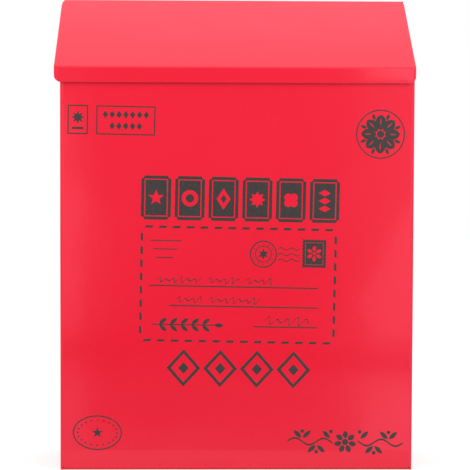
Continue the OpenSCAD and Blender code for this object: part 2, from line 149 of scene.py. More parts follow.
def cut(bm, point, direction, test=everywhere, drop=False):
    """Cuts the faces that pass the test along a plane, and drops their outer side if asked."""
    point, direction = Vector(point), Vector(direction)
    faces = faces_where(bm, test)
    edges = {e for f in faces for e in f.edges}
    verts = {v for f in faces for v in f.verts}
    bmesh.ops.bisect_plane(
        bm, geom=faces + list(edges) + list(verts), plane_co=point, plane_no=direction
    )
    if drop:
        drop_faces(bm, lambda c: test(c) and (c - point).dot(direction) > 0)


# %% [markdown]
# The shell's walls and the lid's rim both begin as a bent line, seen from above, that is pulled
# upwards. Its two upright corners are then bevelled to the radius of the fold.

# %% Helper that wraps a wall round three sides


def wrap_wall(left, right, front_y, low, height, corner_r):
    bm = bmesh.new()
    plan = [(left, 0, low), (left, front_y, low), (right, front_y, low), (right, 0, low)]
    corners = [bm.verts.new(p) for p in plan]
    pull(bm, [bm.edges.new(pair) for pair in zip(corners, corners[1:])], height * upright)
    folds = [e for e in bm.edges if e.is_manifold]
    bmesh.ops.bevel(
        bm, geom=folds, offset=corner_r, segments=8, profile=0.5, affect="EDGES", material=-1
    )
    return bm


# %% [markdown]
# A finished sheet is the skin with its normals outwards, a thickness inwards, and the cut edges
# slightly rounded, because powder coat never leaves a sharp corner. Points closer together than
# the rounding needs are merged first, so that it has room everywhere.

# %% Helper that finishes a sheet
merge_reach = 0.05 * mm
coat_edge_r = 0.14 * mm
sharp_from = math.radians(40)


def finish_sheet(bm, name, probe, outward, node, body):
    """Turns a skin into a painted sheet that stands for a CAD node.

    The face nearest to the probe shows which way the skin's outer side looks.
    """
    bmesh.ops.remove_doubles(bm, verts=bm.verts, dist=merge_reach)
    bmesh.ops.recalc_face_normals(bm, faces=bm.faces)
    nearest = min(bm.faces, key=lambda f: (f.calc_center_median() - Vector(probe)).length)
    if nearest.normal.dot(Vector(outward)) < 0:
        bmesh.ops.reverse_faces(bm, faces=bm.faces)
    mesh = bpy.data.meshes.new(name)
    bm.to_mesh(mesh)
    bm.free()
    for polygon in mesh.polygons:
        polygon.use_smooth = True
    piece = bpy.data.objects.new(name, mesh)
    bpy.context.collection.objects.link(piece)
    thick = piece.modifiers.new("thickness", "SOLIDIFY")
    thick.thickness = sheet
    thick.offset = -1
    thick.use_even_offset = True
    rounded = piece.modifiers.new("soft_edges", "BEVEL")
    rounded.width = coat_edge_r
    rounded.segments = 3
    rounded.limit_method = "ANGLE"
    rounded.angle_limit = sharp_from
    rounded.use_clamp_overlap = True
    flat = piece.modifiers.new("flat_faces", "WEIGHTED_NORMAL")
    flat.keep_sharp = True
    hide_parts(node)
    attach(piece, body)
    print(name, "skin faces", len(mesh.polygons))
    return piece


# %% [markdown]
# ## The body shell
# Front, sides and bottom are one blank. The wrapped walls start a little too high and are cut along
# the lid's slope, and their rear corners make room for the hinge.

# %% Shell walls
fold_r = 2 * mm
spare_height = 4 * mm
side_gap = 1.2 * mm
wall_drop = sheet + side_gap
barrel_gap = 0.5 * mm
back_top = pivot.z - barrel_r - barrel_gap
wall_top = plate_line - wall_drop * normal
rear_notch_y = -5.5 * mm

shell = wrap_wall(-side, side, front, under, shell_high.z - under + spare_height, fold_r)
cut(shell, wall_top, normal, drop=True)
cut(shell, (0, rear_notch_y, 0), inwards_y)
cut(shell, (0, 0, back_top - sheet), upright, lambda c: c.y > rear_notch_y, drop=True)
print("walls", len(shell.faces), "faces")

# %% [markdown]
# The top edges are hemmed: the sheet turns through half a circle and lies back against itself, so
# that no raw edge meets a hand. The wall is cut along the line where the hem begins, what lies
# beyond is dropped, and the new edge is spun inwards and pulled back along the wall.

# %% Helper that hems an edge
hem_r = sheet + 0.1 * mm
hem_len = 7 * mm


def hem(bm, in_reach, line, out, inwards, length):
    """Folds a wall back on its inner side. The wall ends hem_r past the line, in direction out."""
    line, out, inwards = Vector(line), Vector(out), Vector(inwards)
    cut(bm, line, out, in_reach)
    drop_faces(bm, lambda c: in_reach(c) and (c - line).dot(out) > 0)
    rim = edges_where(bm, lambda c: in_reach(c) and near((c - line).dot(out), 0))
    rim = bend(bm, rim, line + hem_r * inwards, out.cross(inwards), math.pi)
    pull(bm, rim, (hem_r - length) * out)


# %% [markdown]
# The front's hem stands closer under the lid than the side walls do, so between its two corners the
# front is first pulled up past the hem's line.

# %% Front hem
hem_margin = 6 * mm
hem_half = side - hem_margin
front_lift = 2 * mm
front_hem_z = slope_z(hem_r + front) - (sheet + cover_gap + hem_r) / math.cos(slope) + hem_r


def on_front(c):
    return near(c.y, front)


def front_top(c):
    return on_front(c) and abs(c.x) < hem_half and c.z > 0


for x in (-hem_half, hem_half):
    cut(shell, (x, 0, 0), along_x)
pull(shell, edges_where(shell, front_top), front_lift * upright)
hem(shell, front_top, (0, front, front_hem_z - hem_r), upright, inwards_y, hem_len)
print("front hem top", round(front_hem_z, 4))

# %% [markdown]
# The side hems follow the lid's slope. They start behind the bent corners, because a hem can't be
# turned round a corner, and end where the back panel's side flanges need the room.

# %% Side hems
hem_front_y = front + hem_margin
hem_rear_y = -13 * mm


def on_side(c):
    return near(abs(c.x), side)


def beyond(c, y):
    """How far up the slope a point lies past the lid's surface over depth y."""
    return (c - Vector((0, y, slope_z(y)))).dot(uphill)


for y in (hem_front_y, hem_rear_y):
    cut(shell, (0, y, slope_z(y)), uphill, on_side)
for hand in (-1, 1):
    hem(
        shell,
        lambda c: near(c.x, hand * side) and beyond(c, hem_front_y) > 0 > beyond(c, hem_rear_y),
        wall_top - hem_r * normal + hand * side * along_x,
        normal,
        -hand * along_x,
        hem_len,
    )
print("hemmed shell", len(shell.faces), "faces")

# %% [markdown]
# The bottom hangs on the front by a fold of its own. Small slots beside it let the metal turn
# without tearing. It is pulled back in a few lengths, so that its edge has points where the
# flanges will start and end.

# %% Shell bottom
relief = 0.4 * mm
flange_setback = 2 * mm
bottom_half = side - fold_r - relief
fold_top = under + fold_r
fold_back = front + fold_r
for x in (bottom_half, bottom_half + relief):
    for hand in (-1, 1):
        cut(shell, (hand * x, 0, 0), along_x)
for z in (fold_top, fold_top + relief):
    cut(shell, (0, 0, z), upright, on_front)
drop_faces(shell, lambda c: on_front(c) and abs(c.x) < bottom_half and c.z < fold_top)
drop_faces(
    shell,
    lambda c: on_front(c) and 0 < abs(c.x) - bottom_half < relief and c.z < fold_top + relief,
)
rim = edges_where(
    shell, lambda c: on_front(c) and near(c.z, fold_top) and abs(c.x) < bottom_half - relief
)
rim = bend(shell, rim, (0, fold_back, fold_top), along_x, math.pi / 2)
flange_front = fold_back + flange_setback
start = fold_back
for stop in (flange_front, hem_rear_y - relief, hem_rear_y, 0):
    rim = pull(shell, rim, (0, stop - start, 0))
    start = stop
print("bottom reaches back to", round(start, 4))

# %% [markdown]
# The bottom's sides turn up inside the side walls, where they are spot welded. At the rear, where
# the back panel's own flanges stand, the bottom stays flat and only reaches out to the walls.

# %% Bottom flanges
tight_r = 2 * sheet
weld_x = side - sheet
flange_h = 9 * mm
flange = (flange_front, hem_rear_y - relief)


def bottom_edge(c, hand):
    return near(c.z, under) and near(c.x, hand * bottom_half)


for hand in (-1, 1):
    edge = edges_where(shell, lambda c: bottom_edge(c, hand) and flange[0] < c.y < flange[1])
    fold_x = hand * (weld_x - tight_r)
    edge = pull(shell, edge, (fold_x - hand * bottom_half, 0, 0))
    edge = bend(shell, edge, (fold_x, 0, under + tight_r), inwards_y, hand * -math.pi / 2, 5)
    pull(shell, edge, (flange_h - tight_r) * upright)
    edge = edges_where(shell, lambda c: bottom_edge(c, hand) and c.y > hem_rear_y)
    pull(shell, edge, (hand * (weld_x - bottom_half), 0, 0))
middle = (under + shell_high.z) / 2
shell_piece = finish_sheet(
    shell, "folded_shell", (0, front, middle), -inwards_y, "body_shell", "box"
)

# %% [markdown]
# ## The lid
# The lid starts like the shell, as a wall wrapped round three sides. Its lip leans back by less
# than half a degree, as pressed lips do, which changes what it mirrors. The wall is cut along the
# slope, and the open top is closed with one flat face. Its outline is then bevelled, which makes
# the soft fold that catches the light all round the top.

# %% Lid plate, lip and rim
lid_left, lid_right, lid_front = lid_low.x, lid_high.x, lid_low.y
lid_height = lid_high.z - lid_low.z
corner_r = 2.2 * mm
plate_fold = 0.95 * mm
roll_start = 2.4 * mm
plate_end = plate_line - roll_start * uphill
lip_lean = math.tan(math.radians(0.45))

lid = wrap_wall(lid_left, lid_right, lid_front, lid_low.z, lid_height + spare_height, corner_r)
foot = Matrix.Translation((0, 0, lid_low.z))
lean = foot @ Matrix.Shear("XY", 4, (0, lip_lean)) @ foot.inverted()
bmesh.ops.transform(lid, matrix=lean, verts=lid.verts)
cut(lid, plate_line, normal, drop=True)
cut(lid, plate_end, uphill, drop=True)
outline = edges_where(lid, lambda c: near((c - plate_line).dot(normal), 0))
ends = sorted({v for e in outline for v in e.verts}, key=lambda v: v.co.y)[-2:]
rear_edge = lid.edges.new(ends)
bmesh.ops.contextual_create(lid, geom=outline + [rear_edge])
bmesh.ops.bevel(
    lid, geom=outline, offset=plate_fold, segments=5, profile=0.5, affect="EDGES", material=-1
)
print("lid skin", len(lid.faces), "faces")

# %% [markdown]
# The side flanges are lower than the lip, and the lip's lower corners are round. A flange starts a
# little past the middle of the bent corner, where its cut misses the points of the bend. Each round
# corner is made by a row of cuts that touch its arc, as a file would make it.

# %% Lid flanges and round corners
side_flange_h = 6 * mm
lip_corner_r = 5.5 * mm
corner_cuts = 8
flange_share = 0.6
flange_start = lid_front + flange_share * corner_r
flange_line = plate_line - side_flange_h * upright
lid_middle = (lid_left + lid_right) / 2
lid_half = (lid_right - lid_left) / 2


def on_lip(c):
    return c.y < flange_start


cut(lid, (0, flange_start, 0), inwards_y, lambda c: abs(c.x - lid_middle) > lid_half - corner_r)
cut(lid, flange_line, -normal, lambda c: c.y > flange_start, drop=True)
for hand in (-1, 1):
    centre = Vector((lid_middle + hand * (lid_half - lip_corner_r), 0, lid_low.z + lip_corner_r))
    for k in range(corner_cuts):
        turn = math.radians(90) * (k + 0.5) / corner_cuts
        out = Vector((hand * math.sin(turn), 0, -math.cos(turn)))
        cut(lid, centre + lip_corner_r * out, out, on_lip, drop=True)
print("lip corners cut with", 2 * corner_cuts, "cuts")

# %% [markdown]
# Between its round corners the lip's lower edge is hemmed too, because it is the edge that the
# fingers lift. The hem makes the edge thick and round, and it takes a pale line of light.

# %% Lip hem
lip_hem_len = 5 * mm
lip_hem_half = lid_half - lip_corner_r
for hand in (-1, 1):
    cut(lid, (lid_middle + hand * lip_hem_half, 0, 0), along_x, on_lip)
hem(
    lid,
    lambda c: c.y < lid_front + sheet and abs(c.x - lid_middle) < lip_hem_half,
    (0, lid_front, lid_low.z + hem_r),
    -upright,
    inwards_y,
    lip_hem_len,
)
print("lid skin with its hem", len(lid.faces), "faces")

# %% [markdown]
# The rear edge is the hinge. Between its two windows the plate turns down behind the wire and is
# rolled round it. Over the windows only a short curl is left, and the back panel's knuckles turn
# there. At the left the corner is snipped off to clear the wire's head, and at the right the roll
# reaches a little past the flat plate.

# %% Lid knuckles
barrel_left = lid_left + 1.6 * mm
barrel_right = lid_right - 0.3 * mm
flat_right = lid_right - plate_fold
corner_snip = 3.8 * mm
window_x = 64 * mm
tongue_half = 18 * mm
window_gap = 2.2 * mm
half_window = tongue_half + window_gap
roll_step = math.radians(5)
curl_turn = 5 * roll_step
roll_end = math.radians(165)
tail_turn = slope + 2 * math.pi - roll_end

cut(lid, (barrel_left, plate_end.y, 0), (-corner_snip, barrel_left - lid_left, 0), drop=True)
window_edges = [
    lid_middle + hand * window_x + end * half_window for hand in (-1, 1) for end in (-1, 1)
]
for x in window_edges + [flat_right]:
    cut(lid, (x, 0, 0), along_x)


def at_plate_end(c):
    return near((c - plate_end).dot(uphill), 0) and near((c - plate_end).dot(normal), 0)


def roll_over(x0, x1, turn):
    """Runs the plate over the hinge and turns it down about the roll's centre."""
    rim = edges_where(lid, lambda c: x0 < c.x < x1 and at_plate_end(c))
    rim = pull(lid, rim, roll_start * uphill)
    return bend(lid, rim, roll_centre, along_x, -turn, round(turn / roll_step))


stations = [barrel_left, *window_edges, flat_right]
for number, (x0, x1) in enumerate(zip(stations, stations[1:])):
    if number % 2:
        roll_over(x0, x1, curl_turn)
    else:
        rim = pull(lid, roll_over(x0, x1, math.pi / 2), -plate_rise * normal)
        bend(lid, rim, pivot, along_x, -tail_turn, 24)
past_plate = 0.1 * mm
for v in lid.verts:
    at_right = v.co.x > flat_right or near(v.co.x, flat_right)
    if at_right and (v.co - plate_end).dot(uphill) > past_plate:
        v.co.x = barrel_right
lid_piece = finish_sheet(
    lid, "folded_lid", (lid_middle, lid_front / 2, slope_z(lid_front / 2)), normal, "lid", "lid"
)

# %% [markdown]
# ## The back panel
# The back is a flat plate with two keyholes and two screw holes. Its outline and its holes are
# drawn as closed lines, and the space between them is filled at once.

# %% Back plate
back_fold_r = 1.2 * mm
flat_x = weld_x - back_fold_r
back_low = under + sheet + back_fold_r
hole_x = 90 * mm
entry_r = 4.5 * mm
slot_r = 2.25 * mm
slot_rise = 9 * mm
screw_r = 2.5 * mm
screw_z = under + 40 * mm
back = bmesh.new()


def arc(start, centre, turn, steps):
    """Spins a new point of the plate's plane into an arc, and returns the arc's two ends."""
    first = back.verts.new(start)
    made = bmesh.ops.spin(
        back, geom=[first], cent=Vector(centre), axis=inwards_y, angle=turn, steps=steps
    )
    last = next(v for v in made["geom_last"] if isinstance(v, bmesh.types.BMVert))
    return first, last


def keyhole(x):
    """A round entry for the screw's head, and a slot above it for its shank."""
    mouth_z = math.sqrt(entry_r ** 2 - slot_r ** 2)
    entry_turn = 2 * math.pi - 2 * math.asin(slot_r / entry_r)
    first, last = arc((x + slot_r, 0, mouth_z), (x, 0, 0), entry_turn, 30)
    top_first, top_last = arc((x - slot_r, 0, slot_rise), (x, 0, slot_rise), math.pi, 12)
    back.edges.new((last, top_first))
    back.edges.new((top_last, first))


def screw_hole(x):
    turned = Matrix.Translation((x, 0, screw_z)) @ Matrix.Rotation(math.pi / 2, 4, "X")
    bmesh.ops.create_circle(back, segments=32, radius=screw_r, matrix=turned)


plate_plan = [(-flat_x, back_low), (flat_x, back_low), (flat_x, back_top), (-flat_x, back_top)]
corners = [back.verts.new((x, 0, z)) for x, z in plate_plan]
for number, corner in enumerate(corners):
    back.edges.new((corners[number - 1], corner))
for x in (-hole_x, hole_x):
    keyhole(x)
    screw_hole(x)
bmesh.ops.triangle_fill(back, use_beauty=True, edges=back.edges[:])
print("back plate", len(back.faces), "faces")

# %% [markdown]
# The plate's sides and bottom are folded forwards into flanges. They stiffen it, and the shell is
# welded to them. Cuts across the plate first mark where each flange and each tongue ends.

# %% Back folds
back_flange = 11 * mm
lid_margin = 1 * mm
corner_z = under + sheet + 2 * back_fold_r
side_fold_top = slope_z(-back_flange) - wall_drop / math.cos(slope) - lid_margin
for z in (corner_z, side_fold_top):
    cut(back, (0, 0, z), upright)
for x in (-window_x, window_x):
    for end in (-tongue_half, tongue_half):
        cut(back, (x + end, 0, 0), along_x)
rim = edges_where(back, lambda c: near(c.z, back_low))
rim = bend(back, rim, (0, -back_fold_r, back_low), along_x, -math.pi / 2, 5)
pull(back, rim, (0, back_fold_r - back_flange, 0))
for hand in (-1, 1):
    rim = edges_where(
        back, lambda c: near(c.x, hand * flat_x) and corner_z < c.z < side_fold_top and near(c.y, 0)
    )
    rim = bend(back, rim, (hand * flat_x, -back_fold_r, 0), upright, hand * -math.pi / 2, 5)
    pull(back, rim, (0, back_fold_r - back_flange, 0))
print("folded back", len(back.faces), "faces")

# %% [markdown]
# Two tongues of the back panel step forwards a little, so that the knuckles that they are rolled
# into stay clear of the wall. Each roll stops just short of its own tongue.

# %% Back knuckles
tongue_y = pivot.y + barrel_r
tongue_bend_z = pivot.z - sheet
end_gap = math.radians(8)
tongue_turn = math.acos((barrel_r - sheet) / barrel_r)
back_turn = 2 * math.pi - end_gap - tongue_turn
tongue_lift = 0.3 * mm
for x in (-window_x, window_x):
    rim = edges_where(
        back, lambda c: near(c.z, back_top) and near(c.y, 0) and abs(c.x - x) < tongue_half
    )
    rim = pull(back, rim, tongue_lift * upright)
    rim = pull(back, rim, (0, tongue_y, tongue_bend_z - back_top - tongue_lift))
    rim = pull(back, rim, (pivot.z - tongue_bend_z) * upright)
    bend(back, rim, pivot, along_x, back_turn, 28)
back_piece = finish_sheet(back, "folded_back", (0, 0, middle), inwards_y, "back_panel", "box")

# %% [markdown]
# ## The hinge wire
# The wire is a straight pin whose left end is hammered into a low head. It is turned as on a lathe:
# half its outline is spun once round the hinge's line. Each point of the outline is a place along
# the wire and a radius, and the head's points are shares of its thickness and its radius.

# %% Hinge wire
wire_r = 1.2 * mm
head_r = pin_high.z - pivot.z
head_t = 0.8 * mm
tip = 0.3 * mm
outline = [
    (pin_low.x, 0),
    (pin_low.x, head_r * 0.62),
    (pin_low.x + head_t * 0.15, head_r * 0.88),
    (pin_low.x + head_t * 0.6, head_r),
    (pin_low.x + head_t * 1.1, head_r * 0.93),
    (pin_low.x + head_t * 1.5, wire_r),
    (pin_high.x - tip, wire_r),
    (pin_high.x, wire_r - tip),
    (pin_high.x, 0),
]
wire = bmesh.new()
verts = [wire.verts.new((x, pivot.y, pivot.z + r)) for x, r in outline]
edges = [wire.edges.new(pair) for pair in zip(verts, verts[1:])]
bmesh.ops.spin(
    wire, geom=verts + edges, cent=pivot, axis=along_x, angle=2 * math.pi, steps=40, use_merge=True
)
bmesh.ops.remove_doubles(wire, verts=wire.verts, dist=0.002 * mm)
bmesh.ops.recalc_face_normals(wire, faces=wire.faces)
wire_mesh = bpy.data.meshes.new("hinge_wire")
wire.to_mesh(wire_mesh)
wire.free()
for polygon in wire_mesh.polygons:
    polygon.use_smooth = True
wire_piece = bpy.data.objects.new("hinge_wire", wire_mesh)
bpy.context.collection.objects.link(wire_piece)
wire_piece.modifiers.new("flat_faces", "WEIGHTED_NORMAL")
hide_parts("hinge_pin")
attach(wire_piece, "lid")
print("hinge wire", len(wire_mesh.polygons), "faces")

# %% [markdown]
# ## Materials
# Nodes are placed and joined by one small helper, so that a material reads as a list of what it
# holds. An input that is a number is set on the node, and one that is a socket is joined to it.

# %% Helper that places nodes


def place(tree, kind, inputs=(), **settings):
    """Adds a node, sets its properties, and sets or joins its inputs."""
    node = tree.nodes.new(kind)
    for name, value in settings.items():
        setattr(node, name, value)
    for name, value in dict(inputs).items():
        if isinstance(value, bpy.types.NodeSocket):
            tree.links.new(value, node.inputs[name])
        else:
            node.inputs[name].default_value = value
    return node


def new_group(name, inputs, outputs):
    """Makes a shader group with the given sockets, each (name, kind, default)."""
    tree = bpy.data.node_groups.new(name, "ShaderNodeTree")
    for socket_name, kind, default in inputs:
        made = tree.interface.new_socket(socket_name, in_out="INPUT", socket_type=kind)
        made.default_value = default
    for socket_name, kind in outputs:
        tree.interface.new_socket(socket_name, in_out="OUTPUT", socket_type=kind)
    return tree, tree.nodes.new("NodeGroupInput").outputs, tree.nodes.new("NodeGroupOutput").inputs


# %% [markdown]
# Powder coat melts into a skin that is glossy but not quite flat. Close to, it has the fine dimples
# called orange peel, and the thin sheet under it also waves a little. Both bend what it reflects.
# One group makes these dimples and waves for any coated or printed surface.

# %% Group for the coat's relief
number_socket = "NodeSocketFloat"
colour_socket = "NodeSocketColor"
wave_height = 0.4 * mm
peel_height = 0.02 * mm
relief_group, given, result = new_group(
    "coat_relief",
    [
        ("Peel Scale", number_socket, 450),
        ("Peel Depth", number_socket, 0.4),
        ("Wave Depth", number_socket, 0.5),
    ],
    [("Normal", "NodeSocketVector")],
)
place_on = place(relief_group, "ShaderNodeTexCoord").outputs["Object"]
waves = place(
    relief_group,
    "ShaderNodeTexNoise",
    {"Vector": place_on, "Scale": 14.0, "Detail": 1.0},
)
peel = place(
    relief_group,
    "ShaderNodeTexNoise",
    {"Vector": place_on, "Scale": given["Peel Scale"], "Detail": 1.5, "Roughness": 0.4},
)
waved = place(
    relief_group,
    "ShaderNodeBump",
    {"Strength": given["Wave Depth"], "Distance": wave_height, "Height": waves.outputs["Fac"]},
)
peeled = place(
    relief_group,
    "ShaderNodeBump",
    {
        "Strength": given["Peel Depth"],
        "Distance": peel_height,
        "Height": peel.outputs["Fac"],
        "Normal": waved.outputs["Normal"],
    },
)
relief_group.links.new(peeled.outputs["Normal"], result["Normal"])
print("group", relief_group.name, "has", len(relief_group.nodes), "nodes")

# %% [markdown]
# No finish is even. A second group lets a colour and a roughness drift a little from place to
# place: a broad cloud for the coat's thickness, and a fine grain for its pigment.

# %% Group for the finish's drift
drift_group, given, result = new_group(
    "finish_drift",
    [
        ("Colour", colour_socket, (1, 1, 1, 1)),
        ("Deep Colour", colour_socket, (0, 0, 0, 1)),
        ("Grain Scale", number_socket, 900),
        ("Smoothest", number_socket, 0.1),
        ("Roughest", number_socket, 0.2),
    ],
    [("Colour", colour_socket), ("Roughness", number_socket)],
)
place_on = place(drift_group, "ShaderNodeTexCoord").outputs["Object"]
cloud = place(drift_group, "ShaderNodeTexNoise", {"Vector": place_on, "Scale": 9.0, "Detail": 3.0})
grain = place(
    drift_group,
    "ShaderNodeTexNoise",
    {"Vector": place_on, "Scale": given["Grain Scale"], "Detail": 2.0},
)
both = place(
    drift_group,
    "ShaderNodeMath",
    {0: cloud.outputs["Fac"], 1: grain.outputs["Fac"]},
    operation="MULTIPLY",
)
amount = place(
    drift_group,
    "ShaderNodeMapRange",
    {"Value": both.outputs["Value"], "From Min": 0.12, "From Max": 0.4},
)
tinted = place(
    drift_group,
    "ShaderNodeMix",
    {"Factor": amount.outputs["Result"], "A": given["Deep Colour"], "B": given["Colour"]},
    data_type="RGBA",
)
roughness = place(
    drift_group,
    "ShaderNodeMapRange",
    {
        "Value": grain.outputs["Fac"],
        "From Min": 0.3,
        "From Max": 0.7,
        "To Min": given["Smoothest"],
        "To Max": given["Roughest"],
    },
)
drift_group.links.new(tinted.outputs["Result"], result["Colour"])
drift_group.links.new(roughness.outputs["Result"], result["Roughness"])
print("group", drift_group.name, "has", len(drift_group.nodes), "nodes")

# %% [markdown]
# The paint and the ink are the same kind of surface, so one function makes both from the two
# groups. The paint's reflections are a little cool, and a trace of metal in it tints them with the
# red. The ink lies on the coat as a thin film, and is a little duller.

# %% Paint and ink


def coated(name, colour, deep, roughness_range, peel_depth, sheen=(1, 1, 1), metal=0):
    """A coat whose colour drifts from deep to colour, and whose roughness drifts in its range."""
    material = bpy.data.materials.new(name)
    material.use_nodes = True
    tree = material.node_tree
    shader = tree.nodes["Principled BSDF"]
    finish = place(
        tree,
        "ShaderNodeGroup",
        {
            "Colour": (*colour, 1),
            "Deep Colour": (*deep, 1),
            "Smoothest": roughness_range[0],
            "Roughest": roughness_range[1],
        },
        node_tree=drift_group,
    )
    relief_on = place(tree, "ShaderNodeGroup", {"Peel Depth": peel_depth}, node_tree=relief_group)
    shader.inputs["Specular Tint"].default_value = (*sheen, 1)
    shader.inputs["Metallic"].default_value = metal
    tree.links.new(finish.outputs["Colour"], shader.inputs["Base Color"])
    tree.links.new(finish.outputs["Roughness"], shader.inputs["Roughness"])
    tree.links.new(relief_on.outputs["Normal"], shader.inputs["Normal"])
    return material


paint = coated(
    "red_powder_coat",
    colour=(0.885, 0.0155, 0.042),
    deep=(0.855, 0.0135, 0.038),
    roughness_range=(0.045, 0.08),
    peel_depth=0.35,
    sheen=(0.9, 0.8, 1.0),
    metal=0.06,
)
ink = coated(
    "printed_ink",
    colour=(0.04, 0.033, 0.032),
    deep=(0.034, 0.028, 0.027),
    roughness_range=(0.2, 0.28),
    peel_depth=0.2,
)
for piece in (shell_piece, lid_piece, back_piece):
    piece.data.materials.append(paint)
print_piece = frame["nodes"]["front_print"]
print_piece.data.materials.clear()
print_piece.data.materials.append(ink)
print("paint on", [piece.name for piece in (shell_piece, lid_piece, back_piece)])

# %% [markdown]
# The wire is drawn through a die and plated with zinc. The die leaves fine lines along the wire,
# so the noise that roughens it is stretched along x.

# %% Zinc wire
zinc = bpy.data.materials.new("zinc_wire")
zinc.use_nodes = True
tree = zinc.node_tree
shader = tree.nodes["Principled BSDF"]
shader.inputs["Metallic"].default_value = 1
scratch_height = 0.02 * mm
place_on = place(tree, "ShaderNodeTexCoord").outputs["Object"]
stretched = place(tree, "ShaderNodeMapping", {"Vector": place_on, "Scale": (40, 3000, 3000)})
lines = place(tree, "ShaderNodeTexNoise", {"Vector": stretched.outputs["Vector"], "Scale": 1.0})
rough = place(
    tree,
    "ShaderNodeMapRange",
    {"Value": lines.outputs["Fac"], "To Min": 0.22, "To Max": 0.5},
)
scratched = place(
    tree,
    "ShaderNodeBump",
    {"Height": lines.outputs["Fac"], "Strength": 0.4, "Distance": scratch_height},
)
plated = place(
    tree,
    "ShaderNodeMix",
    {"Factor": lines.outputs["Fac"], "A": (0.5, 0.5, 0.52, 1), "B": (0.66, 0.66, 0.65, 1)},
    data_type="RGBA",
)
tree.links.new(plated.outputs["Result"], shader.inputs["Base Color"])
tree.links.new(rough.outputs["Result"], shader.inputs["Roughness"])
tree.links.new(scratched.outputs["Normal"], shader.inputs["Normal"])
wire_piece.data.materials.append(zinc)
print("wire finish", zinc.name)

# %% [markdown]
# ## The studio
# The camera stands where the photograph was taken from: a little to the left of the box's middle,
# level with its upper half, and far enough away to flatten it.

# %% Camera
photo_px = 470
focal_px = 1819.3
camera_place = Vector((-29.6, -1368.5, -32.8)) * mm
camera_pitch, camera_yaw, camera_roll = (math.radians(a) for a in (3.118, 1.252, 0.208))
camera = bpy.data.objects.new("camera", bpy.data.cameras.new("camera"))
bpy.context.collection.objects.link(camera)
camera.matrix_world = (
    Matrix.Translation(camera_place)
    @ Matrix.Rotation(-camera_yaw, 4, "Z")
    @ Matrix.Rotation(math.pi / 2 - camera_pitch, 4, "X")
    @ Matrix.Rotation(camera_roll, 4, "Z")
)
camera.data.sensor_width = 36
camera.data.lens = focal_px * camera.data.sensor_width / photo_px
bpy.context.scene.camera = camera
print("lens", round(camera.data.lens), "mm")

# %% [markdown]
# The floor is a pale sweep that ends a little in front of the box. Part of its light is its own, so
# that it shows white to the camera and still takes the box's soft shadow. What the box mirrors of
# it is a little dimmer.

# %% Floor
floor_front = front - 80 * mm
floor_half_width = 3
floor_half_depth = 1.5
own_light = 0.55
mirrored_share = 0.7
floor_mesh = bmesh.new()
bmesh.ops.create_grid(floor_mesh, x_segments=1, y_segments=1, size=1)
bmesh.ops.scale(floor_mesh, verts=floor_mesh.verts, vec=(floor_half_width, floor_half_depth, 1))
bmesh.ops.translate(
    floor_mesh, verts=floor_mesh.verts, vec=(0, floor_half_depth + floor_front, under)
)
floor_data = bpy.data.meshes.new("floor")
floor_mesh.to_mesh(floor_data)
floor_mesh.free()
floor = bpy.data.objects.new("floor", floor_data)
bpy.context.collection.objects.link(floor)
paper = bpy.data.materials.new("pale_floor")
paper.use_nodes = True
tree = paper.node_tree
shader = tree.nodes["Principled BSDF"]
shader.inputs["Base Color"].default_value = (0.5, 0.5, 0.5, 1)
shader.inputs["Roughness"].default_value = 0.9
shader.inputs["Specular IOR Level"].default_value = 0
shader.inputs["Emission Color"].default_value = (1, 1, 1, 1)


def floor_calc(operation, a, b):
    return place(tree, "ShaderNodeMath", {0: a, 1: b}, operation=operation).outputs["Value"]


path = place(tree, "ShaderNodeLightPath").outputs
mirrored = floor_calc("MULTIPLY", path["Is Glossy Ray"], mirrored_share)
seen = floor_calc("MAXIMUM", path["Is Camera Ray"], mirrored)
seen = floor_calc("MAXIMUM", seen, path["Is Transmission Ray"])
tree.links.new(floor_calc("MULTIPLY", seen, own_light), shader.inputs["Emission Strength"])
floor_data.materials.append(paper)
print("floor ends at", round(floor_front, 3))

# %% [markdown]
# The front is a flat mirror under its colour, so what it reflects matters as much as the lamps. The
# world is a simple room: bright to the left and the right of the camera, dim where the camera
# stands, bright overhead and behind. Directions in it are measured as slopes seen from the box:
# how far across and how far up for each step forwards.

# %% Room
world = bpy.data.worlds.new("studio")
bpy.context.scene.world = world
world.use_nodes = True
room = world.node_tree
room.nodes.clear()
least = 0.001


def calc(operation, a, b=0.0):
    return place(room, "ShaderNodeMath", {0: a, 1: b}, operation=operation).outputs["Value"]


def ramp(value, start, end, low=0.0, high=1.0):
    """A smooth step from low to high as the value goes from start to end."""
    made = place(
        room,
        "ShaderNodeMapRange",
        {"Value": value, "From Min": start, "From Max": end, "To Min": low, "To Max": high},
        interpolation_type="SMOOTHSTEP",
    )
    return made.outputs["Result"]


def mixed(a, b, share):
    """Goes from a to b as the share goes from 0 to 1."""
    kept = calc("MULTIPLY", a, calc("SUBTRACT", 1.0, share))
    return calc("ADD", kept, calc("MULTIPLY", b, share))


direction = place(room, "ShaderNodeTexCoord").outputs["Generated"]
parts = place(room, "ShaderNodeSeparateXYZ", {"Vector": direction}).outputs
forwards = calc("MAXIMUM", calc("MULTIPLY", parts["Y"], -1.0), least)
backwards = calc("MAXIMUM", parts["Y"], least)
across = calc("DIVIDE", parts["X"], forwards)
rise = calc("DIVIDE", parts["Z"], forwards)
rise_behind = calc("DIVIDE", parts["Z"], backwards)
print("room has", len(room.nodes), "nodes so far")

# %% [markdown]
# Two bright zones stand left and right, as soft boxes beside a camera do. Their inner edges are
# upright low down and lean outwards from a bend on. High up, where only the lid's lip looks, two
# more zones stand. A faint glow fills both sides and the lowest part.

# %% Zones left and right
zone_softness = 0.004
left_edge_low, left_lean, left_bend = -0.061, 0.33, -0.038
right_edge_low, right_lean, right_bend = 0.090, 0.62, -0.088


def leaning(lean, bend_rise):
    """How far an edge has moved outwards, which is nought below its bend."""
    return calc("MULTIPLY", lean, calc("MAXIMUM", calc("SUBTRACT", rise, bend_rise), 0.0))


